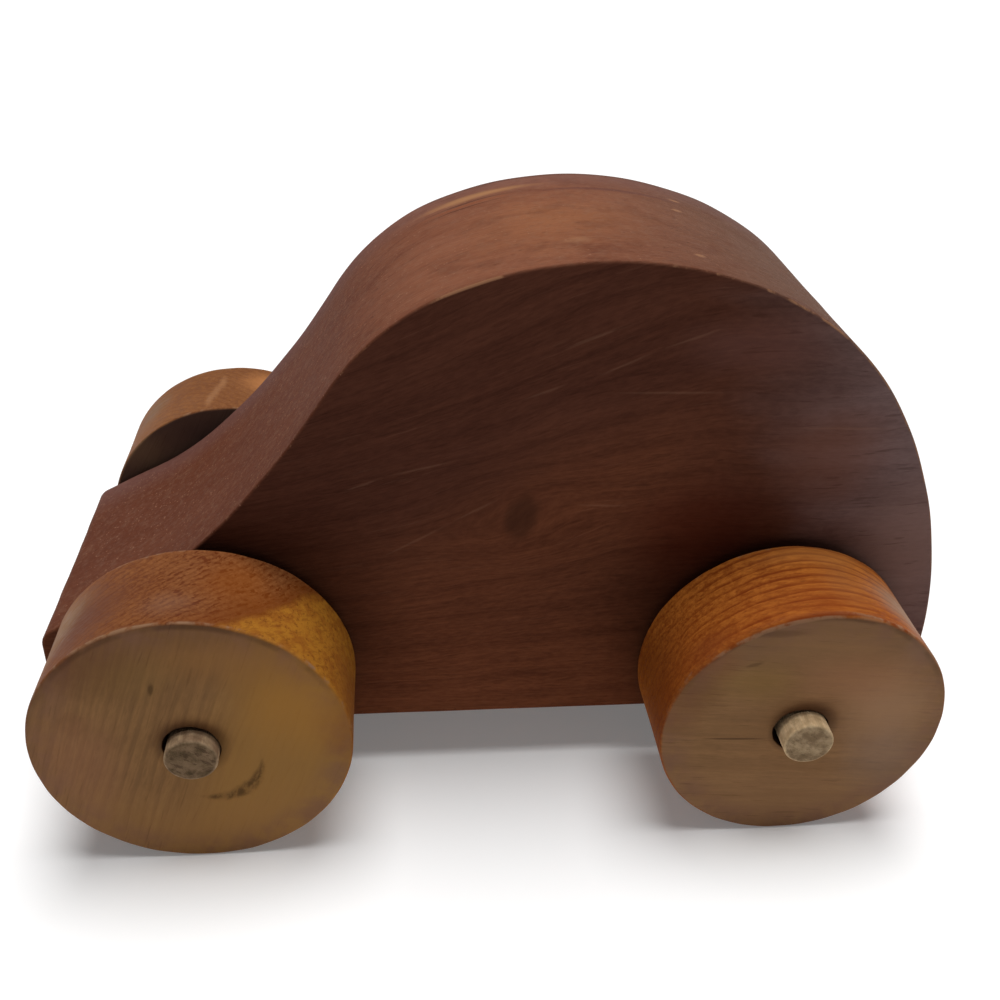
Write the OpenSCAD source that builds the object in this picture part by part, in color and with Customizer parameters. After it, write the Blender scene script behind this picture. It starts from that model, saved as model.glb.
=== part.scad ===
// Push-along wooden toy car: one sawn block for the body, two dowel axles that
// turn in bores through it, and four wheels glued on the ends of the dowels.
// The nose points to -X, the car's left side is at -Y, and the wheels stand on Z = 0.
// All sizes are in millimetres and all angles in degrees.

/* [Block] */
// Thickness of the block from side to side
body_w = 51.5; // [42:0.1:62]
// Height of the roof above the underside
body_h = 98.3; // [90:0.1:108]
// Height of the underside above the ground
ground_clearance = 13.0; // [10:0.1:16]
// Rounding of the sanded edges between the sides and the sawn rim
edge_ease = 0.9; // [0.4:0.1:1.6]

/* [Side outline, from the nose over the roof to the tail] */
// Height of the upright nose face above the underside
nose_h = 20.8; // [17:0.1:24]
// Radius between the nose face and the bonnet
nose_r = 4.2; // [3:0.1:6]
// Slope of the flat front of the bonnet
bonnet_slope = 27.3; // [24:0.1:31]
// Length of the flat front of the bonnet
bonnet_l = 15.0; // [10:0.1:20]
// Radius of the hollow where the bonnet turns up
cowl_r = 55.5; // [45:0.1:70]
// Slope at which that hollow gives way to the flatter windscreen
cowl_slope = 41.9; // [38:0.1:46]
// Slope of the windscreen at its steepest
screen_slope = 58.6; // [55:0.1:62]
// Radius of the brow over the windscreen
brow_r = 47.8; // [40:0.1:56]
// Slope at which the brow meets the roof
brow_slope = 20.7; // [16:0.1:25]
// Radius of the roof
roof_r = 71.7; // [62:0.1:82]
// Downward slope at which the roof meets the rear shoulder
roof_fall = 28.9; // [24:0.1:33]
// Radius of the rear shoulder
shoulder_r = 59.0; // [50:0.1:68]
// Downward slope at which the shoulder meets the tail
tail_fall = 56.9; // [52:0.1:61]
// Height of the upright foot of the tail above the underside
tail_foot = 10.4; // [8:0.1:14]
// Radius of the lower corners at the nose and the tail
corner_r = 3.0; // [2:0.1:5]

/* [Axles] */
// Diameter of the dowels
dowel_d = 9.5; // [7:0.1:11]
// Clearance all round a dowel in its bore through the block
axle_play = 0.25; // [0.15:0.05:0.5]
// Distance from the nose face back to the front axle
front_axle_back = 31.2; // [29:0.1:36]
// Distance between the axles
wheelbase = 113.3; // [104:0.1:118]
// Length of the front dowel that stands out of each wheel
front_stub = 2.9; // [0.6:0.1:5]
// Length of the rear dowel that stands out of each wheel
rear_stub = 4.0; // [1:0.1:7]
// Rounding of the ends of the dowels
dowel_ease = 0.5; // [0.2:0.1:1]

/* [Wheels] */
// Diameter of the front wheels
front_wheel_d = 57.2; // [52:0.1:62]
// Diameter of the rear wheels
rear_wheel_d = 55.2; // [52:0.1:62]
// Thickness of the wheels
wheel_w = 21.4; // [16:0.1:26]
// Gap between the block and the inner face of a wheel
wheel_gap = 1.9; // [1:0.1:3]
// Rounding of the worn rims of the wheels
rim_ease = 0.6; // [0.4:0.1:2]
// Glue line all round a dowel in its wheel
glue_line = 0.05; // [0.03:0.01:0.1]

/* [Hidden] */
$fn = 96;

// Largest distance between a curve of the outline and the chords that stand for it
chord_error = 0.015;
// Number of steps in the rounding of an edge of the block
ease_steps = 3;
// A cut runs this far past what it cuts
overcut = 1;

// The windscreen and the tail are arcs whose radii close the outline between the given
// heights. An arc from slope a to slope b rises or falls by its radius times cos(a) - cos(b).
screen_rise = body_h - nose_h - nose_r * cos(bonnet_slope) - bonnet_l * sin(bonnet_slope)
            - cowl_r * (cos(bonnet_slope) - cos(cowl_slope))
            - brow_r * (cos(brow_slope) - cos(screen_slope)) - roof_r * (1 - cos(brow_slope));
screen_r = screen_rise / (cos(cowl_slope) - cos(screen_slope));
tail_drop = body_h - tail_foot - roof_r * (1 - cos(roof_fall))
          - shoulder_r * (cos(roof_fall) - cos(tail_fall));
tail_r = tail_drop / cos(tail_fall);

// The outline as arcs in order, clockwise from the foot of the nose face, which heads
// straight up at 90. Each is [radius, heading at its end, straight length after it], and
// a hollow has a negative radius. The underside closes the outline.
upright = 90;
arcs = [[nose_r, bonnet_slope, bonnet_l],
        [-cowl_r, cowl_slope, 0],
        [-screen_r, screen_slope, 0],
        [brow_r, brow_slope, 0],
        [roof_r, -roof_fall, 0],
        [shoulder_r, -tail_fall, 0],
        [tail_r, -upright, tail_foot - corner_r],
        [corner_r, -2 * upright, 0]];

// The unit vector that points to the right of a heading
function right_of(heading) = [sin(heading), -cos(heading)];

// Where an arc's centre lies, and where the stretch after it ends
function centre_of(start, heading, arc) = start + arc[0] * right_of(heading);
function end_of(start, heading, arc) =
    centre_of(start, heading, arc) - arc[0] * right_of(arc[1])
    + arc[2] * [cos(arc[1]), sin(arc[1])];

// The arcs laid end to end, each as [centre, radius, first heading, last heading, length after]
function laid(i, start, heading) = i == len(arcs) ? [] :
    concat([[centre_of(start, heading, arcs[i]), arcs[i][0], heading, arcs[i][1], arcs[i][2]]],
           laid(i + 1, end_of(start, heading, arcs[i]), arcs[i][1]));

// The lower front corner comes last, because the underside's length follows from the rest
front_corner = [[corner_r, corner_r], corner_r, -2 * upright, -3 * upright, 1];
chain = concat(laid(0, [0, nose_h], upright), [front_corner]);

// Points along one arc of the chain, moved inwards by inset. The last point is left out
// where the next arc starts on it.
function steps_of(arc) = ceil(abs(arc[3] - arc[2]) / (2 * acos(1 - chord_error / abs(arc[1]))));
function arc_points(arc, inset) =
    let (steps = steps_of(arc), last = arc[4] > 0 ? steps : steps - 1)
    [for (i = [0 : last])
        arc[0] - (arc[1] - inset) * right_of(arc[2] + (arc[3] - arc[2]) * i / steps)];
function outline(inset) = [for (arc = chain) each arc_points(arc, inset)];

body_l = max([for (p = outline(0)) p[0]]);
front_axle_x = front_axle_back - body_l / 2;
rear_axle_x = front_axle_x + wheelbase;
front_axle_z = front_wheel_d / 2;
rear_axle_z = rear_wheel_d / 2;
wheel_inner_y = body_w / 2 + wheel_gap;
wheel_outer_y = wheel_inner_y + wheel_w;

// Rings of the block from its right side to its left, as [y, inset of the outline]:
// a quarter circle at each edge, so the sawn rim runs over into the sides
right_edge = [for (i = [0 : ease_steps])
    let (turn = 90 * i / ease_steps)
    [body_w / 2 - edge_ease * (1 - cos(turn)), edge_ease * (1 - sin(turn))]];
left_edge = [for (i = [ease_steps : -1 : 0]) [-right_edge[i][0], right_edge[i][1]]];
rings = concat(right_edge, left_edge);

module eased_block() {
    count = len(outline(0));
    points = [for (ring = rings) for (p = outline(ring[1])) [p[0], ring[0], p[1]]];
    rim = [for (r = [0 : len(rings) - 2]) for (i = [0 : count - 1])
        let (next = (i + 1) % count)
        [r * count + i, r * count + next, (r + 1) * count + next, (r + 1) * count + i]];
    right_side = [for (i = [count - 1 : -1 : 0]) i];
    left_side = [for (i = [0 : count - 1]) (len(rings) - 1) * count + i];
    polyhedron(points = points, faces = concat(rim, [right_side, left_side]));
}

// A turned piece along Y between two faces, with both rims rounded
module turned(d, from, to, ease) {
    length = to - from;
    translate([0, from, 0]) rotate([-90, 0, 0]) rotate_extrude() {
        square([d / 2 - ease, length]);
        translate([0, ease]) square([d / 2, length - 2 * ease]);
        for (y = [ease, length - ease]) translate([d / 2 - ease, y]) circle(ease);
    }
}

module bore(d, from, to) {
    translate([0, from - overcut, 0]) rotate([-90, 0, 0])
        cylinder(d = d, h = to - from + 2 * overcut);
}

module body() {
    color("#5b2f24") difference() {
        translate([-body_l / 2, 0, ground_clearance]) eased_block();
        for (axle = [[front_axle_x, front_axle_z], [rear_axle_x, rear_axle_z]])
            translate([axle[0], 0, axle[1]])
                bore(dowel_d + 2 * axle_play, -body_w / 2, body_w / 2);
    }
}

module axle(x, z, stub) {
    reach = wheel_outer_y + stub;
    color("#8f7a5f") translate([x, 0, z]) turned(dowel_d, -reach, reach, dowel_ease);
}

// side is -1 for the car's left and 1 for its right
module wheel(x, d, side, tint) {
    from = side < 0 ? -wheel_outer_y : wheel_inner_y;
    color(tint) translate([x, 0, d / 2]) difference() {
        turned(d, from, from + wheel_w, rim_ease);
        bore(dowel_d + 2 * glue_line, from, from + wheel_w);
    }
}

module front_axle() axle(front_axle_x, front_axle_z, front_stub);
module rear_axle() axle(rear_axle_x, rear_axle_z, rear_stub);
module front_left_wheel() wheel(front_axle_x, front_wheel_d, -1, "#8a5f33");
module front_right_wheel() wheel(front_axle_x, front_wheel_d, 1, "#96602f");
module rear_left_wheel() wheel(rear_axle_x, rear_wheel_d, -1, "#9c5d25");
module rear_right_wheel() wheel(rear_axle_x, rear_wheel_d, 1, "#96602f");

body();
front_axle();
rear_axle();
front_left_wheel();
front_right_wheel();
rear_left_wheel();
rear_right_wheel();
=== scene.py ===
from functools import reduce
from math import pi, radians

import bpy
import numpy as np
from mathutils import Matrix, Vector
from mathutils.geometry import delaunay_2d_cdt


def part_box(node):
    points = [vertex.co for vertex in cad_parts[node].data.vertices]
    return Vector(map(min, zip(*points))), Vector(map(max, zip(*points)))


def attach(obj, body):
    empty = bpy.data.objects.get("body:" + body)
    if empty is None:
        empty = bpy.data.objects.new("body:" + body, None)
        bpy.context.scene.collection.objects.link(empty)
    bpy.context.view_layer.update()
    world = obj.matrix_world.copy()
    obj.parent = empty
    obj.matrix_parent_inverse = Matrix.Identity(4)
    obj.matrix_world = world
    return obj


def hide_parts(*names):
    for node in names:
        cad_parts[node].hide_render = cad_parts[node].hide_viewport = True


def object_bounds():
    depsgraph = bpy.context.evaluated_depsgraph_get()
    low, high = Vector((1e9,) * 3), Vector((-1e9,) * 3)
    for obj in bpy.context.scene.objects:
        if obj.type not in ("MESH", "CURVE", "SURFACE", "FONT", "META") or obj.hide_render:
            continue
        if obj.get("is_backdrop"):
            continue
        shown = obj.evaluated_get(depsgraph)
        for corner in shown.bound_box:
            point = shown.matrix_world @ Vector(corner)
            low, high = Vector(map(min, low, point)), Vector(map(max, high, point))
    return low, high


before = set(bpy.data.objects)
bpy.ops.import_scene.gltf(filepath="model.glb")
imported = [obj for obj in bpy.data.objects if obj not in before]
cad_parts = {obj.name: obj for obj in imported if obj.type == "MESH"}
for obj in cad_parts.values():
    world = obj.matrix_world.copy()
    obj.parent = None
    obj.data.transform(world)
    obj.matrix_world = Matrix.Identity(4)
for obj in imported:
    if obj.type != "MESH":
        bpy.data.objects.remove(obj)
cad_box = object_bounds()
scene = bpy.context.scene
scene.view_settings.view_transform = "Standard"
mm = 0.001

# Where the toy is seen from: close in front of its left side, a little to the nose's side of
# the middle, looking down on the roof and the tops of the wheels.
eye = Vector((-21.7, -191.2, 170.8)) * mm
look_down = radians(32.31)
look_right = radians(6.81)
head_tilt = radians(2.72)

lens = bpy.data.cameras.new("camera")
lens.lens = 38.52
lens.sensor_width = 36
lens.clip_start = 10 * mm
camera = bpy.data.objects.new("camera", lens)
camera.matrix_world = (Matrix.Translation(eye) @ Matrix.Rotation(-look_right, 4, "Z")
                       @ Matrix.Rotation(radians(90) - look_down, 4, "X")
                       @ Matrix.Rotation(head_tilt, 4, "Z"))
scene.collection.objects.link(camera)
scene.camera = camera


# The floor and the light: a plain pale table under a big soft lamp that hangs over the toy
# and a little behind it, with dim even light from all round.
floor_reach = 4.0
floor_tone = 0.94
floor_glow = 0.14
lamp_height = radians(82)
lamp_bearing = radians(25)
lamp_spread = radians(38)
lamp_strength = 3.05
room_light = 0.09


def add(tree, kind, links=None, **settings):
    """A new node of that kind. links gives its inputs by name or number, each as a value or as
    another node's output, and the rest are the node's own settings."""
    made = tree.nodes.new(kind)
    for name, value in settings.items():
        setattr(made, name, value)
    for name, value in (links or {}).items():
        if isinstance(value, bpy.types.NodeSocket):
            tree.links.new(value, made.inputs[name])
        else:
            made.inputs[name].default_value = value
    return made


def maths(tree, operation, *terms):
    """Maths of that kind on up to three terms, each a value or an output."""
    return add(tree, "ShaderNodeMath", dict(enumerate(terms)), operation=operation).outputs[0]


def total(tree, *terms):
    """The sum of the terms."""
    return reduce(lambda so_far, term: maths(tree, "ADD", so_far, term), terms)


def seen_directly(tree):
    """1 where the camera looks at a surface, also in a polished or through a clear one."""
    path = add(tree, "ShaderNodeLightPath").outputs
    rays = total(tree, path["Is Camera Ray"], path["Is Glossy Ray"], path["Is Transmission Ray"])
    return add(tree, "ShaderNodeClamp", {0: rays}).outputs[0]


def either(tree, share, first, second):
    """The two shaders mixed by share."""
    return add(tree, "ShaderNodeMixShader", {0: share, 1: first.outputs[0],
                                             2: second.outputs[0]})


def new_material(name, piece):
    """The node tree of a new material on the piece, still empty."""
    material = bpy.data.materials.new(name)
    material.use_nodes = True
    material.node_tree.nodes.clear()
    piece.data.materials.append(material)
    return material.node_tree


world = bpy.data.worlds.new("room")
world.use_nodes = True
tree = world.node_tree
tree.nodes.clear()
dim = add(tree, "ShaderNodeBackground", {"Color": (1, 1, 1, 1), "Strength": room_light})
white = add(tree, "ShaderNodeBackground", {"Color": (1, 1, 1, 1), "Strength": 1.0})
shown = either(tree, seen_directly(tree), dim, white)
add(tree, "ShaderNodeOutputWorld", {0: shown.outputs[0]})
scene.world = world

lamp = bpy.data.lights.new("big_soft_lamp", "SUN")
lamp.energy = lamp_strength
lamp.angle = lamp_spread
lamp_object = bpy.data.objects.new("big_soft_lamp", lamp)
lamp_object.matrix_world = (Matrix.Rotation(-lamp_bearing, 4, "Z")
                            @ Matrix.Rotation(lamp_height - radians(90), 4, "X"))
scene.collection.objects.link(lamp_object)

floor_mesh = bpy.data.meshes.new("floor")
floor_corners = np.array([(-1, -1, 0), (1, -1, 0), (1, 1, 0), (-1, 1, 0)]) * floor_reach
floor_mesh.from_pydata(floor_corners.tolist(), [], [(0, 1, 2, 3)])
floor = bpy.data.objects.new("floor", floor_mesh)
scene.collection.objects.link(floor)
floor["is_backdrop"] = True

tree = new_material("floor_paper", floor)
paper = add(tree, "ShaderNodeBsdfDiffuse", {"Color": (floor_tone, floor_tone, floor_tone, 1)})
glow = add(tree, "ShaderNodeEmission", {"Color": (1, 1, 1, 1), "Strength": floor_glow})
lifted = add(tree, "ShaderNodeAddShader", {0: paper.outputs[0], 1: glow.outputs[0]})
shown = either(tree, seen_directly(tree), paper, lifted)
from_below = add(tree, "ShaderNodeNewGeometry").outputs["Backfacing"]
one_sided = either(tree, from_below, shown, add(tree, "ShaderNodeBsdfTransparent"))
add(tree, "ShaderNodeOutputMaterial", {0: one_sided.outputs[0]})


# The block: one thick piece of softwood with the grain running from nose to tail, sawn to
# the outline of a small round-backed car, sanded, stained dark brown and drilled across for
# the two axles. Handling has rounded its edges and worn the stain along them.
block_low, block_high = (np.array(corner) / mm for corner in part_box("body"))
block_l, block_w, block_h = block_high - block_low
nose_h, nose_r, bonnet_slope, bonnet_l = 20.8, 4.2, 27.3, 15.0
cowl_r, cowl_slope, screen_slope = 55.5, 41.9, 58.6
brow_r, brow_slope, roof_r, roof_fall = 47.8, 20.7, 71.7, 28.9
shoulder_r, tail_fall, tail_foot, corner_r = 59.0, 56.9, 10.4, 3.0
dowel_r = 4.75
axle_play = 0.25
bore_ease = 0.35
edge_round = 0.50
edge_uneven = 0.10
edge_near = 0.25
edge_strip = 0.7
sanding_dip = 0.10
outline_step = 0.8
lattice_step = 5.0
lattice_clear = 2.25
bore_points = 48


def cos_of(degrees):
    """The cosine of an angle in degrees."""
    return np.cos(np.radians(degrees))


screen_rise = (block_h - nose_h - nose_r * cos_of(bonnet_slope)
               - bonnet_l * np.sin(np.radians(bonnet_slope))
               - cowl_r * (cos_of(bonnet_slope) - cos_of(cowl_slope))
               - brow_r * (cos_of(brow_slope) - cos_of(screen_slope))
               - roof_r * (1 - cos_of(brow_slope)))
screen_r = screen_rise / (cos_of(cowl_slope) - cos_of(screen_slope))
tail_drop = (block_h - tail_foot - roof_r * (1 - cos_of(roof_fall))
             - shoulder_r * (cos_of(roof_fall) - cos_of(tail_fall)))
tail_r = tail_drop / cos_of(tail_fall)
arcs = [(nose_r, bonnet_slope, bonnet_l), (-cowl_r, cowl_slope, 0),
        (-screen_r, screen_slope, 0), (brow_r, brow_slope, 0), (roof_r, -roof_fall, 0),
        (shoulder_r, -tail_fall, 0), (tail_r, -90, tail_foot - corner_r),
        (corner_r, -180, block_l - 2 * corner_r), (corner_r, -270, nose_h - corner_r)]


def heading_vector(heading):
    """The unit vector along a heading in degrees, where 0 is backwards and 90 is up."""
    turn = np.radians(heading)
    return np.stack([np.cos(turn), np.sin(turn)], -1)


def outline_of(arcs, start, step):
    """Points, outward directions and distances run along a chain of arcs that start upwards.
    Each arc is (radius, heading at its end, straight length after it); a hollow has a negative
    radius. A point is the arc's centre plus its radius along the outward direction, which is
    the heading turned left by 90 degrees."""
    points, outward = [], []
    corner, heading = np.array(start, float), 90.0
    for radius, last_heading, straight in arcs:
        centre = corner + radius * heading_vector(heading - 90)
        count = int(max(6, np.ceil(abs(radius * np.radians(last_heading - heading)) / step)))
        headings = np.linspace(heading, last_heading, count + 1)[:-1]
        points.append(centre - radius * heading_vector(headings - 90))
        outward.append(-heading_vector(headings - 90))
        foot = centre - radius * heading_vector(last_heading - 90)
        count = int(np.ceil(straight / (2 * step)))
        along = np.arange(count)[:, None] * straight / max(count, 1)
        points.append(foot + along * heading_vector(last_heading))
        outward.append(np.tile(-heading_vector(last_heading - 90), (count, 1)))
        corner, heading = foot + straight * heading_vector(last_heading), last_heading
    points, outward = np.concatenate(points), np.concatenate(outward)
    steps = np.hypot(*(np.roll(points, -1, 0) - points).T)
    return points, outward, np.cumsum(steps) - steps


def ripple(turn, waves, seed):
    """A smooth wandering value between -1 and 1 that repeats after each whole turn: the mean
    of sines with those whole numbers of waves, each with a phase drawn from the seed."""
    phase = np.random.default_rng(seed).uniform(0, 2 * pi, len(waves))
    return np.sin(2 * pi * np.multiply.outer(turn, waves) + phase).mean(-1)


def grid_quads(rows, columns, rows_close=False):
    """Corner numbers of the quads between the points of a grid, counted row by row. The last
    column joins the first, and so does the last row where rows close."""
    i, j = np.meshgrid(np.arange(rows - (not rows_close)), np.arange(columns), indexing="ij")
    below, right = (i + 1) % rows, (j + 1) % columns
    corners = [i * columns + j, i * columns + right, below * columns + right,
               below * columns + j]
    return np.stack(corners, -1).reshape(-1, 4)


def make_piece(name, points, faces, marks):
    """An object from points in millimetres and lists of faces, smooth except at sharp edges.
    marks are named values from 0 to 1, one for each point, which the material reads."""
    mesh = bpy.data.meshes.new(name)
    mesh.from_pydata((points * mm).tolist(), [], sum((part.tolist() for part in faces), []))
    for label, values in marks.items():
        mesh.attributes.new(label, "FLOAT", "POINT").data.foreach_set("value", values)
    mesh.polygons.foreach_set("use_smooth", np.ones(len(mesh.polygons), bool))
    mesh.set_sharp_from_angle(angle=radians(40))
    mesh.validate()
    piece = bpy.data.objects.new(name, mesh)
    scene.collection.objects.link(piece)
    return piece


def inside(points, loop):
    """Whether each point lies in a closed loop: a level line to its right crosses the loop an
    odd number of times."""
    (x, z), (x0, z0), (x1, z1) = points.T[:, :, None], loop.T, np.roll(loop, -1, 0).T
    spans = (z0 > z) != (z1 > z)
    with np.errstate(divide="ignore", invalid="ignore"):
        crossing = x0 + (z - z0) * (x1 - x0) / (z1 - z0)
    return (spans & (x < crossing)).sum(1) % 2 == 1


def flat_side(rim, holes):
    """Points and triangles that fill a flat outline with round holes in it: the rim, the
    holes' points and an even lattice between them, joined by a Delaunay triangulation from
    which the triangles outside the rim and in the holes are left out."""
    def in_wood(points):
        return reduce(lambda kept, hole: kept & ~inside(points, hole), holes, inside(points, rim))

    (x_from, z_from), (x_to, z_to) = rim.min(0), rim.max(0)
    x, z = np.meshgrid(np.arange(x_from, x_to, lattice_step),
                       np.arange(z_from, z_to, lattice_step))
    lattice = np.stack([x.ravel(), z.ravel()], 1)
    edge_points = np.concatenate([rim, *holes])
    clear = np.hypot(*(lattice[:, None] - edge_points[None]).transpose(2, 0, 1)).min(1)
    lattice = lattice[(clear > lattice_clear) & in_wood(lattice)]
    points = np.concatenate([edge_points, lattice])
    edges, first = [], 0
    for loop in (rim, *holes):
        numbers = first + np.arange(len(loop))
        edges.append(np.stack([numbers, np.roll(numbers, -1)], 1))
        first += len(loop)
    edges = np.concatenate(edges).tolist()
    triangles = np.array(delaunay_2d_cdt(points.tolist(), edges, [], 0, 1e-7)[2])
    return points, triangles[in_wood(points[triangles].mean(1))]


# The rounded edge of each side in rings, and between the two the sawn rim, which dips a
# little where it was sanded, but not underneath. The rings beside a rounding keep the
# shading of the flats level.
line, outward, run = outline_of(arcs, (block_low[0], block_low[2] + nose_h), outline_step)
turn = run / (run[-1] + outline_step)
on_underside = np.clip(-outward[:, 1] * 4 - 3, 0, 1)
dip = sanding_dip * (1 + ripple(turn, [9, 13, 22, 31], 1)) * (1 - on_underside)
quarter = np.linspace(0, pi / 2, 7)
edges = []
for side, waves, seed in ((-1, [4, 7, 15, 26], 2), (1, [5, 9, 14, 23], 3)):
    rounding = edge_round + edge_uneven * ripple(turn, waves, seed)
    insets = np.stack([rounding + edge_strip, rounding + edge_near,
                       *np.outer(1 - np.sin(quarter), rounding), 0 * rounding])
    depths = np.stack([0 * rounding, 0 * rounding, *np.outer(1 - np.cos(quarter), rounding),
                       rounding + edge_strip])
    moved = line - (insets + dip)[:, :, None] * outward
    edges.append(np.stack([moved[..., 0], side * (block_w / 2 - depths), moved[..., 1]], -1))
across = np.linspace(0, 1, 19)[1:-1, None]
wave = (sanding_dip * np.sin(pi * across) * (1 - on_underside)
        * (1 + ripple(turn + 0.13 * across, [17, 29, 44], 4)))
between = (edges[0][-1] + across[..., None] * (edges[1][-1] - edges[0][-1])
           - wave[..., None] * np.insert(outward, 1, 0, 1))
rings = np.concatenate([edges[0], between, edges[1][::-1]])
on_rim = np.concatenate([[0, 0], np.sin(2 * quarter), [0]])
on_sawn = np.concatenate([[0, 0], np.linspace(0, 1, len(quarter)), [1]])
ring_rim = np.concatenate([on_rim, np.zeros(len(across)), on_rim[::-1]])
ring_sawn = np.concatenate([on_sawn, np.ones(len(across)), on_sawn[::-1]])
rim_count = len(line)
points = [rings.reshape(-1, 3)]
marks = [np.repeat([ring_rim, ring_sawn], rim_count, 1)]
faces = [grid_quads(len(rings), rim_count)]

# The two flat sides, with the bores' mouths cut out of them, and then the bores.
axles = [sum(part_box(name), Vector()) / 2 / mm for name in ("front_axle", "rear_axle")]
bore_r = dowel_r + axle_play
bore_turn = np.linspace(0, 2 * pi, bore_points, endpoint=False)
circle = np.stack([np.cos(bore_turn), np.sin(bore_turn)], 1)
made = len(rings) * rim_count
hole_starts = []
for side, ring in ((-1, 0), (1, len(rings) - 1)):
    holes = [(axle.x, axle.z) + (bore_r + bore_ease) * circle for axle in axles]
    flat, triangles = flat_side(rings[ring][:, [0, 2]], holes)
    inner = flat[rim_count:]
    points.append(np.insert(inner, 1, side * block_w / 2, 1))
    marks.append(np.zeros((2, len(inner))))
    numbers = np.concatenate([ring * rim_count + np.arange(rim_count),
                              made + np.arange(len(inner))])[triangles]
    first, second, third = flat[triangles].transpose(1, 0, 2)
    turned = np.cross(second - first, third - first)
    faces.append(np.where((turned * side > 0)[:, None], numbers[:, ::-1], numbers))
    hole_starts.append(made)
    made += len(inner)
for number, axle in enumerate(axles):
    tube = [np.insert((axle.x, axle.z) + bore_r * circle, 1,
                      side * (block_w / 2 - bore_ease), 1) for side in (-1, 1)]
    points.append(np.concatenate(tube))
    marks.append(np.repeat([[0], [1]], 2 * bore_points, 1))
    starts = (hole_starts[0] + number * bore_points, made, made + bore_points,
              hole_starts[1] + number * bore_points)
    rows = np.add.outer(starts, np.arange(bore_points))
    faces.append(rows.ravel()[grid_quads(4, bore_points)])
    made += 2 * bore_points
rim, sawn = np.concatenate(marks, 1)
block = make_piece("car_block", np.concatenate(points), faces, {"rim": rim, "sawn": sawn})
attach(block, "block")
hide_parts("body")


def paint(red, green, blue):
    """A colour as it is seen on a screen, each part from 0 to 255, as the shader's own values."""
    seen = np.array([red, green, blue]) / 255
    return (*np.where(seen < 0.04045, seen / 12.92, ((seen + 0.055) / 1.055) ** 2.4), 1)


def group_of(name, inputs, outputs):
    """A new shader node group, with its input and output sockets. inputs gives each input's
    first value, a number or a vector. outputs are the names of its numbers."""
    group = bpy.data.node_groups.new(name, "ShaderNodeTree")
    for label, value in inputs.items():
        kind = "NodeSocketFloat" if isinstance(value, float) else "NodeSocketVector"
        socket = group.interface.new_socket(label, in_out="INPUT", socket_type=kind)
        socket.default_value = value
    for label in outputs:
        group.interface.new_socket(label, in_out="OUTPUT", socket_type="NodeSocketFloat")
    return (group, group.nodes.new("NodeGroupInput").outputs,
            group.nodes.new("NodeGroupOutput").inputs)


def put(tree, group, links):
    """The outputs of a node group placed in a tree, with its inputs set or linked by name."""
    return add(tree, "ShaderNodeGroup", links, node_tree=group).outputs


def times(tree, *terms):
    """The product of the terms."""
    return reduce(lambda so_far, term: maths(tree, "MULTIPLY", so_far, term), terms)


def vectors(tree, operation, *terms):
    """Vector maths of that kind on up to three terms. SCALE takes a vector and a number, and
    LENGTH gives a number."""
    inputs = (0, "Scale") if operation == "SCALE" else (0, 1, 2)
    made = add(tree, "ShaderNodeVectorMath", dict(zip(inputs, terms)), operation=operation)
    return made.outputs["Value" if operation == "LENGTH" else "Vector"]


def split(tree, place):
    """The three coordinates of a place."""
    return add(tree, "ShaderNodeSeparateXYZ", {0: place}).outputs


def ramp(tree, value, low, high, out_low=0.0, out_high=1.0):
    """value carried smoothly from low..high to out_low..out_high, and held there beyond."""
    return add(tree, "ShaderNodeMapRange",
               {"Value": value, "From Min": low, "From Max": high, "To Min": out_low,
                "To Max": out_high}, interpolation_type="SMOOTHSTEP").outputs["Result"]


def mottle(tree, place, stretch, detail, rough):
    """Noise from 0 to 1, with the place first multiplied by stretch, a number or one for each
    axis."""
    spread = vectors(tree, "MULTIPLY", place, np.broadcast_to(stretch, 3).tolist())
    return add(tree, "ShaderNodeTexNoise",
               {"Vector": spread, "Scale": 1.0, "Detail": detail, "Roughness": rough},
               noise_dimensions="3D").outputs["Fac"]


def blend(tree, share, first, second):
    """The two colours mixed by share. Each is an output, or a colour as seen on a screen."""
    made = add(tree, "ShaderNodeMix", {"Factor": share}, data_type="RGBA")
    for socket, value in ((made.inputs[6], first), (made.inputs[7], second)):
        if isinstance(value, bpy.types.NodeSocket):
            tree.links.new(value, socket)
        else:
            socket.default_value = paint(*value)
    return made.outputs[2]


def over(tree, base, tint, *shares):
    """The base colour with a tint laid over it, as far as the product of the shares."""
    return blend(tree, times(tree, *shares), base, tint)


# Softwood as it lies in the plank. The place is in millimetres, with X along the grain and
# the heart of the tree along the line Y = Z = 0. Late is the dark outer part of each year's
# ring, broken up along its length. Fibre and Hair are the streaks along the grain, Dash its
# short uneven ones, Pale its few light lines, Pores its short dark flecks, Flecks the broken
# rings of the end grain, and Cloud the slow change from place to place.
board_grain, given, result = group_of(
    "board_grain", {"Place": (0, 0, 0), "Ring Width": 2.4, "Wander": 1.2},
    ["Late", "Fibre", "Hair", "Dash", "Pale", "Pores", "Flecks", "Cloud", "From Heart"])
tree = board_grain
drawn_out = vectors(tree, "MULTIPLY", given["Place"], (0.012, 0.07, 0.07))
stray = add(tree, "ShaderNodeTexNoise", {"Vector": drawn_out, "Scale": 1.0, "Detail": 5.0,
                                         "Roughness": 0.55}).outputs["Color"]
stray = vectors(tree, "SCALE", vectors(tree, "SUBTRACT", stray, (0.5, 0.5, 0.5)), given["Wander"])
place = vectors(tree, "MULTIPLY_ADD", stray, (0, 1, 1), given["Place"])
along, across_y, across_z = split(tree, place)
radius = vectors(tree, "LENGTH", vectors(tree, "MULTIPLY", place, (0, 1, 1)))
part = maths(tree, "FRACT", maths(tree, "DIVIDE", radius, given["Ring Width"]))
late = times(tree, ramp(tree, part, 0.45, 0.89), ramp(tree, part, 0.89, 1.0, 1, 0))
round_heart = times(tree, maths(tree, "ARCTAN2", across_z, across_y), 80.0)
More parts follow.
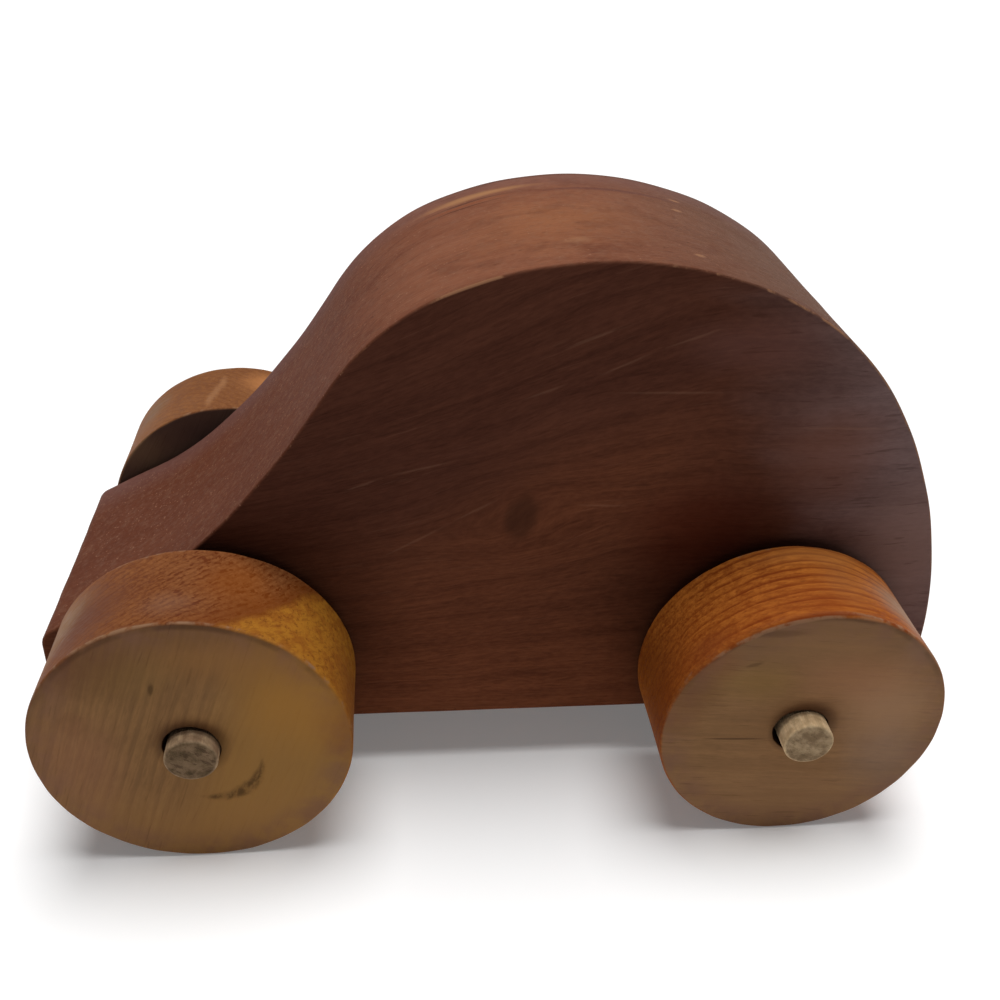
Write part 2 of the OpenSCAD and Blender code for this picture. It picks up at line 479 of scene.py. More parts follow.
on_ring = add(tree, "ShaderNodeCombineXYZ", {0: along, 1: radius, 2: round_heart}).outputs[0]
broken = mottle(tree, on_ring, (0.03, 0.7, 0.22), 3, 0.6)
tree.links.new(times(tree, late, ramp(tree, broken, 0.30, 0.52, 0.25, 1.0)), result["Late"])
tree.links.new(radius, result["From Heart"])
for label, where, stretch, detail, rough, low, high in (
        ("Flecks", on_ring, (0.3, 1.5, 0.55), 3, 0.65, 0.53, 0.62),
        ("Fibre", place, (0.04, 1.2, 1.2), 4, 0.6, 0.30, 0.70),
        ("Hair", place, (0.08, 4.2, 4.2), 2, 0.5, 0.33, 0.67),
        ("Dash", place, (0.5, 2.6, 2.6), 3, 0.65, 0.32, 0.68),
        ("Pale", place, (0.03, 1.7, 1.7), 3, 0.6, 0.63, 0.72),
        ("Pores", place, (0.14, 2.4, 2.4), 1, 0.4, 0.64, 0.74),
        ("Cloud", place, (0.02, 0.08, 0.08), 3, 0.55, 0.3, 0.7)):
    tree.links.new(ramp(tree, mottle(tree, where, stretch, detail, rough), low, high),
                   result[label])

# Rims worn by handling: the rounded edge shows where the finish has rubbed off, broken up
# along its length.
worn_rim, given, result = group_of(
    "worn_rim", {"Rim": 0.0, "Place": (0, 0, 0), "Amount": 0.5}, ["Worn"])
tree = worn_rim
broken = mottle(tree, given["Place"], 0.45, 4, 0.6)
reach = maths(tree, "MULTIPLY_ADD", given["Amount"], 0.6, maths(tree, "SUBTRACT", broken, 0.62))
tree.links.new(times(tree, ramp(tree, reach, 0.0, 0.25), ramp(tree, given["Rim"], 0.1, 0.9)),
               result["Worn"])

# Dust and pale scratches: small ragged specks that lie closer together where Amount is high.
dust_specks, given, result = group_of(
    "dust_specks", {"Place": (0, 0, 0), "Size": 0.5, "Amount": 0.5}, ["Specks"])
tree = dust_specks
stray = add(tree, "ShaderNodeTexNoise", {"Vector": given["Place"], "Scale": 1.4,
                                         "Detail": 2.0}).outputs["Color"]
ragged = vectors(tree, "MULTIPLY_ADD", stray, (1.3, 1.3, 1.3), given["Place"])
spread = vectors(tree, "SCALE", ragged, maths(tree, "DIVIDE", 1.0, given["Size"]))
cells = add(tree, "ShaderNodeTexVoronoi", {"Vector": spread, "Scale": 0.5},
            voronoi_dimensions="3D").outputs
chosen = add(tree, "ShaderNodeSeparateColor", {0: cells["Color"]}).outputs["Red"]
there = maths(tree, "LESS_THAN", chosen, given["Amount"])
tree.links.new(times(tree, there, ramp(tree, cells["Distance"], 0.12, 0.34, 1, 0)),
               result["Specks"])

# One mark on a surface: a ragged oval with a soft border. Its middle and its half sizes are
# in millimetres, and Turn leans it in the plane of the car's side.
mark, given, result = group_of(
    "mark", {"Place": (0, 0, 0), "Middle": (0, 0, 0), "Half Sizes": (1, 1, 1), "Turn": 0.0,
             "Softness": 0.5, "Ragged": 0.3}, ["Mark"])
tree = mark
offset = vectors(tree, "SUBTRACT", given["Place"], given["Middle"])
leaned = add(tree, "ShaderNodeVectorRotate", {"Vector": offset, "Angle": given["Turn"]},
             rotation_type="Y_AXIS").outputs[0]
share = vectors(tree, "DIVIDE", leaned, given["Half Sizes"])
uneven = maths(tree, "SUBTRACT", mottle(tree, share, 1.6, 4, 0.7), 0.5)
edge = maths(tree, "MULTIPLY_ADD", uneven, given["Ragged"], vectors(tree, "LENGTH", share))
soft_from = maths(tree, "SUBTRACT", 1.0, given["Softness"])
tree.links.new(ramp(tree, edge, soft_from, 1.0, 1, 0), result["Mark"])


def place_in(tree, middle=(0, 0, 0), turn=(0, 0, 0)):
    """The place on the piece in millimetres from middle, in axes turned by turn."""
    where = add(tree, "ShaderNodeTexCoord").outputs["Object"]
    return add(tree, "ShaderNodeMapping",
               {"Vector": where, "Location": Vector(middle) * mm, "Rotation": turn,
                "Scale": (mm, mm, mm)}, vector_type="TEXTURE").outputs[0]


def mark_at(tree, place, middle, half_sizes, lean=0, softness=0.5, ragged=0.3):
    """How far a place is in a mark that leans by so many degrees, its top towards the nose."""
    return put(tree, mark, {"Place": place, "Middle": middle, "Half Sizes": half_sizes,
                            "Turn": radians(lean), "Softness": softness, "Ragged": ragged})[0]


def mixed(tree, grain, **weights):
    """The sum of the grain's streaks of those names, each times its weight."""
    return total(tree, *(times(tree, grain[name], weight) for name, weight in weights.items()))


def value_of(tree, label):
    """The named value that the piece's mesh holds at each point."""
    return add(tree, "ShaderNodeAttribute", attribute_name=label).outputs["Fac"]


def finish_wood(tree, colour, rough, height, depth, gloss):
    """The material's shader, from its colour, roughness and height, which is depth deep."""
    bump = add(tree, "ShaderNodeBump", {"Height": height, "Distance": depth * mm,
                                        "Strength": 1.0})
    shader = add(tree, "ShaderNodeBsdfPrincipled",
                 {"Base Color": colour, "Roughness": rough, "Normal": bump.outputs[0],
                  "Specular IOR Level": gloss})
    add(tree, "ShaderNodeOutputMaterial", {0: shader.outputs[0]})


side_dark, side_light = (66, 36, 26), (93, 55, 41)
bounce_lit_dark, bounce_lit_light = (98, 53, 32), (144, 84, 53)
tail_dark, tail_light = (106, 85, 83), (134, 111, 109)
painted_shade_brown = (34, 10, 4)
sawn_dark, sawn_light = (110, 63, 44), (142, 92, 68)
roof_orange, roof_shade_grey = (158, 102, 66), (90, 66, 54)
front_dark, front_light = (87, 46, 31), (106, 62, 44)
film_grey, far_edge_sheen_grey = (134, 102, 83), (112, 84, 82)
rubbed, dust = (158, 114, 84), (158, 116, 92)
knot_brown, soot = (46, 27, 18), (52, 26, 16)
streak_red, streak_pale = (150, 78, 40), (172, 124, 84)
streak_purple = (84, 50, 50)
side_y = -block_w / 2
knot_middle = (2.2, side_y, 61.2)

# The grain rises towards the roof, the more so the further back and up it lies, and parts
# round the knot.
tree = new_material("stained_block", block)
place = place_in(tree)
x, y, z = split(tree, place)
rise = times(tree, ramp(tree, x, -80, 42),
             add(tree, "ShaderNodeMapRange", {"Value": z, "From Min": 18.0, "From Max": 105.0,
                                              "To Min": 0.0, "To Max": 34.0}).outputs[0])
near_knot = mark_at(tree, place, knot_middle, (26, 60, 15), softness=1.0, ragged=0.0)
push = times(tree, maths(tree, "SUBTRACT", z, knot_middle[2]), near_knot, -0.55)
level = total(tree, maths(tree, "SUBTRACT", z, rise), push, 30.0)
lying = add(tree, "ShaderNodeCombineXYZ", {0: x, 1: maths(tree, "SUBTRACT", y, 70.0), 2: level})
grain = put(tree, board_grain, {"Place": lying.outputs[0], "Ring Width": 3.4, "Wander": 6.0})
sawn, rim = value_of(tree, "sawn"), value_of(tree, "rim")

# The sides: dark above, lighter and redder below in painted light bounced from the floor,
# greyed at the tail, darkest round the wheels in painted shade, with a few light lines along
# the grain. Each tint is laid in a wide soft oval.
streaks = mixed(tree, grain, Fibre=0.28, Cloud=0.32, Hair=0.10, Dash=0.30, Late=-0.15)
side = blend(tree, streaks, side_dark, side_light)
low = blend(tree, streaks, bounce_lit_dark, bounce_lit_light)
# Lighter and redder towards the bottom: painted light bounced up from the floor.
side = blend(tree, ramp(tree, z, 72, 20, 0, 0.67), side, low)
warm = mark_at(tree, place, (13, side_y, 62), (48, 200, 23), 30, softness=1.0, ragged=0.5)
side = over(tree, side, low, warm, 0.42)
tailwards = total(tree, x, times(tree, z, 0.4), times(tree, grain["Cloud"], 12), -36)
tail = blend(tree, streaks, tail_dark, tail_light)
side = blend(tree, ramp(tree, tailwards, 42, 76, 0, 0.85), side, tail)
side = over(tree, side, dust, grain["Pale"], 0.06)
# Tints in ovals. The third, dark, deepens the painted shade left of the rear wheel. The fourth,
# pale, is painted light that lifts the shade beside the rear wheel towards the tail.
for middle_x, middle_z, half_x, half_z, share, tint in (
        (60, 74, 16, 15, 0.50, (112, 66, 46)), (42, 96, 18, 8, 0.35, (121, 81, 73)),
        (38, 56, 20, 18, 0.45, (84, 24, 4)), (80, 52, 19, 24, 0.50, (154, 120, 110))):
    tone_and_light_oval = mark_at(tree, place, (middle_x, side_y, middle_z), (half_x, 90, half_z), softness=0.9)
    side = over(tree, side, tint, tone_and_light_oval, share)
# Painted shade on the side round each wheel, deepest above it.
for axle, away, half_x in zip(axles, (4, -11), (42, 32)):
    painted_wheel_shade = mark_at(tree, place, (axle.x + away, side_y, axle.z + 8), (half_x, 90, 37),
                     softness=0.7)
    side = over(tree, side, painted_shade_brown, painted_wheel_shade, 0.63)
for line_x, line_z, half, lean in ((13.0, 97.8, 7, 23), (18.8, 92.7, 7, 26), (30.3, 97.6, 7, 21),
                                   (28.3, 87.2, 14, 0), (60.6, 79.7, 14, -1),
                                   (-17.6, 56.6, 9, 30), (-6.2, 63.3, 6, 30),
                                   (17.5, 63.8, 6, -2), (-16.5, 72.3, 8, 14),
                                   (-27.0, 69.1, 5, 22), (5.1, 87.5, 5, 22)):
    light = mark_at(tree, place, (line_x, side_y, line_z), (half, 3, 0.42), lean, 0.9, 1.1)
    side = over(tree, side, dust, light, 0.14)

# The sawn rim: paler, orange on the crown, darker and greyer down the tail in painted shade,
# browner down the bonnet.
top = blend(tree, streaks, sawn_dark, sawn_light)
crown = mark_at(tree, place, (8, -4, 111), (26, 20, 12), softness=1.0, ragged=1.0)
top = over(tree, top, roof_orange, crown, 0.42)
# Darker and greyer towards the tail: painted shade.
top = blend(tree, ramp(tree, x, 6, 54, 0, 0.85), top, roof_shade_grey)
front = blend(tree, streaks, front_dark, front_light)
top = blend(tree, ramp(tree, x, -12, -35), top, front)
patches = mottle(tree, place, (0.10, 0.14, 0.10), 4, 0.6)
top = blend(tree, ramp(tree, patches, 0.50, 0.68, 0, 0.35), top, front_dark)
film = ramp(tree, mottle(tree, place, 0.7, 4, 0.7), 0.45, 0.68, 0, 0.20)
top = blend(tree, film, top, film_grey)
# Greyer along the roof's far edge: a painted sheen.
top = blend(tree, ramp(tree, y, 13, 26, 0, 0.40), top, far_edge_sheen_grey)
colour = blend(tree, sawn, side, top)
colour = over(tree, colour, soot, grain["Pores"], 0.26)

# The knot, the streaks along the far edge of the roof, its scuffs, the rubbed edges and dust.
knot = mark_at(tree, place, knot_middle, (4.2, 9, 6.4), lean=-14, softness=0.5, ragged=0.3)
colour = over(tree, colour, knot_brown, knot, 0.5)
for middle, sizes, ragged, share, tint in (
        ((-4, 19.2, 107), (17, 2.2, 9), 0.7, 0.75, streak_pale),
        ((-5, 16.4, 107), (16, 0.5, 8), 0.7, 0.50, soot),
        ((-6, 13.9, 107), (13, 0.5, 8), 0.7, 0.45, soot),
        ((-6, 15.2, 107), (14, 0.5, 9), 0.7, 0.40, streak_red),
        ((22, 15.3, 110), (22, 1.3, 9), 0.7, 0.45, streak_purple),
        ((6, 24.8, 109), (50, 0.9, 12), 0.7, 0.35, soot),
        ((34.0, 9.6, 109), (1.6, 1.0, 4), 1.0, 0.7, rubbed),
        ((31.6, -17.6, 109), (1.5, 1.1, 4), 1.0, 0.7, rubbed),
        ((35.2, 16.8, 109), (1.8, 0.8, 4), 1.0, 0.7, rubbed),
        ((10.5, -14.5, 111), (3.4, 2.4, 4), 1.0, 0.35, rubbed)):
    streak = mark_at(tree, place, middle, sizes, softness=0.8, ragged=ragged)
    colour = over(tree, colour, tint, streak, share)
rubbed_edge = mark_at(tree, place, (-8.5, side_y, 106.8), (9, 2, 6), softness=0.6, ragged=0.4)
handled = total(tree, 0.10, times(tree, rubbed_edge, 0.7), ramp(tree, x, 30, 56, 0, 0.32))
worn = put(tree, worn_rim, {"Rim": rim, "Place": place, "Amount": handled})[0]
colour = over(tree, colour, rubbed, worn, 0.7)
drifts = ramp(tree, mottle(tree, place, 0.16, 4, 0.6), 0.42, 0.66, 0.1, 0.5)
more_dust = times(tree, ramp(tree, x, 6, -36, 0.15, 1.0), drifts, sawn)
specks = put(tree, dust_specks, {"Place": place, "Size": 0.36, "Amount": more_dust})[0]
colour = over(tree, colour, dust, specks, 0.5)
rough = total(tree, 0.58, times(tree, grain["Fibre"], 0.12), times(tree, worn, 0.15))
height = mixed(tree, grain, Fibre=0.5, Hair=0.4, Pores=-0.6)
finish_wood(tree, colour, rough, height, depth=0.04, gloss=0.02)


# The axles: two lengths of hardwood dowel, sawn off by hand and pushed through the block.
# The wheels are glued on their ends, so a dowel turns in the block with its two wheels.
end_tilt = 0.16
end_wave = 0.04
end_clear = 0.05
dowel_ease = 0.50
dowel_turns = 64
dowel_hang = 0.42
wheel_face = 49.05


def capped(rings, low_middle, high_middle):
    """Points and faces of a closed round piece: its rings, with a middle point at each end."""
    count = rings.shape[1]
    points = np.concatenate([rings.reshape(-1, 3), [low_middle, high_middle]])
    numbers = np.arange(count)
    beside = (numbers + 1) % count
    last = (len(rings) - 1) * count
    low = np.stack([np.full(count, last + count), beside, numbers], 1)
    high = np.stack([np.full(count, last + count + 1), last + numbers, last + beside], 1)
    return points, [grid_quads(len(rings), count), low, high]


def hang(along, reach):
    """How far the askew dowel lies above its axle at a place along it: dowel_hang at reach."""
    return dowel_hang * along / reach


def dowel_rings(middle, radius, reach, seed):
    """Rings of a dowel along Y: a profile of radius and distance from the end, carried round
    the axis. Each end is sawn a little off square, by a slope across it, and the dowel lies
    askew in its bore, so its left end hangs low."""
    turn = np.linspace(0, 1, dowel_turns, endpoint=False)
    quarter = np.linspace(0, pi / 2, 5)
    out = np.concatenate([np.array([0.3, 0.62, 0.85]) * (radius - dowel_ease),
                          radius - dowel_ease * (1 - np.sin(quarter)), [radius]])
    depth = np.concatenate([[0, 0, 0], dowel_ease * (1 - np.cos(quarter)), [dowel_ease + 0.4]])
    on_end = np.concatenate([[1, 1, 1], 1 - np.sin(quarter), [0]])
    flat = np.clip(1 - depth / dowel_ease, 0, 1)[:, None]
    spread = out[:, None] + end_wave * flat * ripple(turn, [3, 5, 9], seed)
    rows = []
    for side, lean in ((-1, seed), (1, seed + 1)):
        slope = end_tilt * (1 + np.outer(out / radius, np.cos(2 * pi * turn + lean)))
        along = side * (reach - depth[:, None] - slope * flat - end_clear)
        rows.append(np.stack([middle.x + spread * np.sin(2 * pi * turn), along,
                              middle.z + hang(along, reach) + spread * np.cos(2 * pi * turn)],
                             -1))
    shaft = np.linspace(rows[0][-1], rows[1][-1], 9)[1:-1]
    marks = np.concatenate([on_end, np.zeros(len(shaft)), on_end[::-1]])
    return np.concatenate([rows[0], shaft, rows[1][::-1]]), marks


dowels = {
    "front_axle": dict(body="front_wheel_set", seed=5, cracked=0.55,
                       side=((160, 130, 102), (206, 176, 140)),
                       cut=((92, 74, 52), (134, 109, 83))),
    "rear_axle": dict(body="rear_wheel_set", seed=8, cracked=0.2,
                      side=((206, 174, 132), (246, 216, 172)),
                      cut=((134, 110, 82), (182, 156, 122)))}
collar_shade_brown, crack_brown = (64, 38, 22), (72, 52, 38)
for name, look in dowels.items():
    low, high = (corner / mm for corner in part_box(name))
    middle = (low + high) / 2
    rings, marks = dowel_rings(middle, (high.z - low.z) / 2, high.y, look["seed"])
    points, faces = capped(rings, rings[0].mean(0), rings[-1].mean(0))
    on_end = np.concatenate([np.repeat(marks, dowel_turns), [1, 1]])
    piece = make_piece(name + "_dowel", points, faces, {"end": on_end})
    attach(piece, look["body"])
    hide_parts(name)

    tree = new_material(name + "_wood", piece)
    place = place_in(tree, middle, (0, 0, radians(90)))
    grain = put(tree, board_grain, {"Place": vectors(tree, "ADD", place, (0, 14, 9)),
                                    "Ring Width": 1.4, "Wander": 1.0})
    patches = ramp(tree, mottle(tree, place, 0.40, 4, 0.6), 0.34, 0.66)
    side = blend(tree, patches, *look["side"])
    side = over(tree, side, look["cut"][0], grain["Fibre"], 0.35)
    from_middle = maths(tree, "ABSOLUTE", split(tree, place)["X"])
    # Darker next to the wheel's face: painted shade in the corner where the dowel leaves the wheel.
    collar = ramp(tree, from_middle, wheel_face + 1.1, wheel_face + 0.2, 0, 0.6)
    side = blend(tree, collar, side, collar_shade_brown)
    cut = blend(tree, patches, *look["cut"])
    torn = mottle(tree, place_in(tree, middle, (0, radians(38), 0)), (0.5, 1.0, 1.7), 3, 0.6)
    cracks = ramp(tree, torn, 0.55, 0.62)
    cut = over(tree, cut, crack_brown, cracks, look["cracked"])
    colour = blend(tree, value_of(tree, "end"), side, cut)
    height = total(tree, times(tree, grain["Hair"], 0.6), times(tree, cracks, -2 * look["cracked"]),
                   times(tree, grain["Pores"], -0.6))
    finish_wood(tree, colour, 0.7, height, depth=0.10, gloss=0.05)


# The wheels: four discs of pine cut with a hole saw from a stained board, sanded and glued
# on the ends of the dowels, the front pair a little larger. Their faces are rubbed and
# greyed, their treads keep the stain, and the mouth of each hole gapes round its dowel.
rim_ease = 0.50
rim_uneven = 0.2
tread_dip = 0.06
wheel_turns = 192
gap_depth = 2.4
glue_line = 0.05
mouth_gap = 0.12
mouth_uneven = 0.08


def wheel_rings(middle, radius, low, high, seed, gape, worst_at=0, worst_width=1, worst_by=0):
    """Rings of a disc along Y with a hole through it: a closed profile of radius and place
    along the axis, carried round the axis. Its rim is rounded unevenly. Its hole follows the
    askew dowel, and the mouth opens out most towards gape, a share of a turn from the top.
    The low face's rim is worn furthest at worst_at, a share of a turn, by worst_by more,
    which falls off as a squared cosine over worst_width of a turn to each side. Gives the
    rings, and how far each point is rim, tread and mouth. On the rounding the rim's value is
    the angle's sine, or a thin line near the face where it is worn far."""
    turn = np.linspace(0, 1, wheel_turns, endpoint=False)
    worn = rim_ease + rim_uneven * ripple(turn, [2, 5, 9, 17, 29], seed)
    from_worst = (turn - worst_at + 0.5) % 1 - 0.5
    further = worst_by * np.cos(np.clip(from_worst / worst_width, -1, 1) * pi / 2) ** 2
    thinned = np.clip(1.2 * further, 0, 1)
    dip = tread_dip * (1 + ripple(turn, [3, 4, 7, 11], seed + 1))
    hole = dowel_r + glue_line
    open_by = np.clip(np.cos(2 * pi * (turn - gape[0])), 0, 1)
    mouth = hole + mouth_gap + gape[1] * open_by + mouth_uneven * ripple(turn, [3, 7, 12], seed + 2)
    quarter = np.linspace(0, pi / 2, 7)
    rows, marks = [], []

    def ring(out, along, on_rim, on_tread, sunk=0):
        lift = hang(along, wheel_face) if sunk else 0
        rows.append(np.stack([middle.x + out * np.sin(2 * pi * turn), along + 0 * turn,
                              middle.z + lift + out * np.cos(2 * pi * turn)], -1))
        marks.append([value + 0 * turn for value in (on_rim, on_tread, sunk)])

    # From the glued part of the hole over its mouth, the face and the rounding to the tread
    for face, inward, ease, thin in ((low, 1, worn + further, thinned),
                                     (high, -1, worn, 0 * thinned)):
        part = [(hole + 0 * turn, face + inward * gap_depth, 0, 0, 1),
                (mouth - 0.06, face + inward * 0.3, 0, 0, 1),
                (mouth + 0.1, face, 0, 0, 0.4)]
        part += [(out, face, 0, 0) for out in np.linspace(hole + 2.2, radius - 2.8, 6)]
        part.append((radius - dip - ease - 0.25, face, 0, 0))
        part += [(radius - dip - ease * (1 - np.sin(a)), face + inward * ease * (1 - np.cos(a)),
                  (1 - thin) * np.sin(a) + thin * np.interp(a, quarter[:4], [0.5, 1, 0.8, 0]),
                  np.minimum(1, a * (1 + 2 * thin))) for a in quarter]
        part += [(radius - dip, face + inward * (ease + 0.3), 0.3 * (1 - thin), 1),
                 (radius - dip, face + inward * (ease + 1.2), 0, 1)]
        for step in part if inward > 0 else part[::-1]:
            ring(*step)
        if inward > 0:
            for share in np.linspace(0, 1, 9)[1:-1]:
                wave = tread_dip * np.sin(pi * share) * (1 + ripple(turn, [5, 8, 13], seed + 4))
                ring(radius - dip - wave, low + 3 + share * (high - low - 6), 0, 1)
    return np.array(rows), np.array(marks).transpose(1, 0, 2).reshape(3, -1)


# Each wheel's own look, in millimetres from its middle. gape is where its mouth opens and by
# how much. heart is where the heart of the tree lay, lean the turn of the grain, ring the
# width of a year's ring and late how strongly the rings show on the tread. Sapwood starts
# that far from the heart, and on the face over sap_face_from, with a darker stain from
# stained_from. The tread is darker by near_face at the outer face, and flecked on its end
# grain, most beyond the second fleck_x. The rim is rubbed less beyond the second worn_to,
# and worst is where, how widely and how much further it is worn down. A mark is its middle,
# half sizes, share and colour, and its lean and softness where they aren't 0 and 0.9.
face_y = (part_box("front_left_wheel")[1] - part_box("front_left_wheel")[0]).y / mm / 2
wheels = {
    "front_left_wheel": dict(
        body="front_wheel_set", slot="front_wheel_wood", seed=21, gape=(-0.07, 0.75), lean=-70,
        heart=(56, 61), ring=1.3, late=0.45, sapwood=89.0, sap_face_from=(88, 98),
        stained_from=82.5, near_face=0.15, flecked=1.0, fleck_x=(-16, 2), worn_to=(2, 14),
        face=((116, 83, 52), (154, 114, 72)), face_top=(116, 80, 48),
        face_bounce_lit=(166, 120, 72), tread=((92, 42, 14), (146, 94, 54)),
        sap_face=(156, 114, 60), sap_tread=(173, 115, 38),
        rubbed=(140, 108, 82), marks=[
            ((-5.5, -face_y, 14.2), (0.7, 2, 1.9), 0.7, (58, 36, 20), -12, 0.7),
            ((1.3, -face_y, 16.9), (0.35, 2, 3.6), 0.45, (78, 50, 30), -19, 0.7),
            ((-19.7, -face_y, 6.7), (3.0, 2, 3.2), 0.16, (92, 52, 34), 0, 0.35),
            ((-17, -2, 21), (15, 15, 14), 0.85, (96, 56, 40)),
            ((-2, -5, 28), (7, 5, 3), 0.15, (150, 122, 104)),
            ((9, 2, 27), (10, 10, 6), 0.55, (126, 64, 14)),
            ((28, -4, 4), (9, 15, 15), 0.7, (130, 76, 34)),
            ((-23, 3, 17), (9, 11, 12), 0.4, (154, 126, 94)),
            ((8, -face_y, 20), (18, 2, 8), 0.4, (160, 112, 62)),
            ((-9, -face_y, 17), (12, 2, 8), 0.2, (128, 100, 50)),
            ((19, -face_y, 9), (15, 2, 16), 0.4, (176, 120, 46)),
            ((-20, -face_y, -3), (12, 2, 20), 0.3, (170, 115, 86))]),
    "front_right_wheel": dict(
        body="front_wheel_set", slot="front_wheel_wood", seed=31, gape=(0.1, 0.5), lean=-62,
        heart=(-50, 60), ring=1.6, late=0.4, sapwood=84.0, sap_face_from=(81, 91),
        stained_from=78.5, near_face=0.0, flecked=0.35, fleck_x=(-30, -20),
        face=((112, 76, 46), (150, 106, 66)), face_top=(98, 68, 44),
        face_bounce_lit=(146, 104, 64), tread=((104, 58, 28), (142, 94, 56)),
        sap_face=(160, 116, 66), sap_tread=(160, 104, 50),
        rubbed=(150, 116, 90), marks=[
            ((6, face_y, -12), (1.2, 2, 5), 0.45, (66, 40, 24), 30, 0.7),
            # The next two marks on the inner face are painted light: the pale one its lit part, the
            # dark one its shade.
            ((-21, -face_y, 18), (8, 0.8, 8), 0.55, (122, 96, 72), 30, 0.9),
            ((-4, -face_y, 21), (12, 0.8, 9), 0.45, (54, 36, 38)),
            ((9, 3, 26), (11, 9, 7), 0.65, (194, 130, 78)),
            ((-19, 3, 20), (7, 9, 8), 0.5, (120, 96, 74)),
            ((-5.0, -5.5, 28.2), (1.4, 5, 4), 0.3, (184, 136, 96)),
            ((-4.0, -1.5, 28.2), (1.4, 5, 4), 0.3, (184, 136, 96)),
            ((-2.9, 2.5, 28.3), (1.4, 5, 4), 0.3, (184, 136, 96))]),
    "rear_left_wheel": dict(
        body="rear_wheel_set", slot="rear_wheel_wood", seed=41, gape=(-0.22, 0.95),
        worst=(0.935, 0.17, 0.9), lean=6, heart=(74, 12), ring=2.2, late=0.95,
        near_face=0.45, flecked=0.5, fleck_x=(-12, -22),
        face=((124, 90, 58), (156, 116, 78)), face_top=(124, 92, 64),
        face_bounce_lit=(160, 119, 83), tread=((118, 50, 14), (202, 122, 48)),
        rubbed=(148, 112, 84), marks=[
            ((-13.0, -face_y, -2.0), (8, 2, 0.35), 0.6, (66, 44, 30), -3, 0.6),
            ((-12.2, -face_y, 16.4), (2.2, 2, 0.6), 0.5, (70, 48, 34), 15, 0.7),
            ((16, -face_y, 3), (14, 2, 17), 0.62, (172, 132, 100)),
            ((-11, -face_y, 12), (12, 2, 7), 0.35, (142, 110, 56)),
            ((-9, -face_y, 23.5), (8, 2, 1.2), 0.4, (70, 48, 36), 0, 0.7),
            ((2, -face_y, 21), (15, 2, 7), 0.3, (150, 110, 74)),
            ((8, -face_y, 12), (17, 2, 10), 0.35, (172, 119, 86)),
            ((-20, -8, 18), (9, 5, 9), 0.45, (122, 60, 30)),
            ((18, -face_y, -9), (12, 2, 13), 0.35, (134, 113, 102)),
            ((-22, -face_y, 10), (8, 2, 9), 0.4, (104, 66, 34)),
            ((7, 0, 27), (8, 12, 6), 0.45, (136, 86, 50)),
            ((5, 8, 26), (20, 5, 8), 0.35, (206, 136, 72)),
            ((20, -1, 19), (14, 12, 13), 0.8, (146, 120, 100)),
            ((-26, 0, 6), (10, 16, 14), 0.55, (110, 52, 20))]),
    "rear_right_wheel": dict(
        body="rear_wheel_set", slot="rear_wheel_wood", seed=51, gape=(0.2, 0.6), lean=12,
        heart=(-80, -16), ring=2.4, late=0.6, near_face=0.2, flecked=0.4, fleck_x=(10, 22),
        face=((116, 82, 52), (152, 110, 70)), face_top=(106, 76, 52),
        face_bounce_lit=(148, 108, 70), tread=((112, 54, 20), (172, 102, 46)),
        rubbed=(150, 112, 82), marks=[
            ((9, face_y, 8), (5, 2, 0.5), 0.6, (60, 38, 24), -12, 0.6)]),
}
inner_brown, rim_grey, rim_shadow_brown = (88, 66, 57), (124, 88, 72), (66, 42, 26)
near_sap_brown, sap_fleck, sap_patch = (114, 57, 14), (126, 74, 28), (140, 80, 28)
sap_speck, pore_brown, bow_brown = (104, 56, 20), (62, 32, 16), (72, 48, 24)
dowel_halo_brown, mouth_painted_shade = (76, 38, 18), (30, 14, 8)
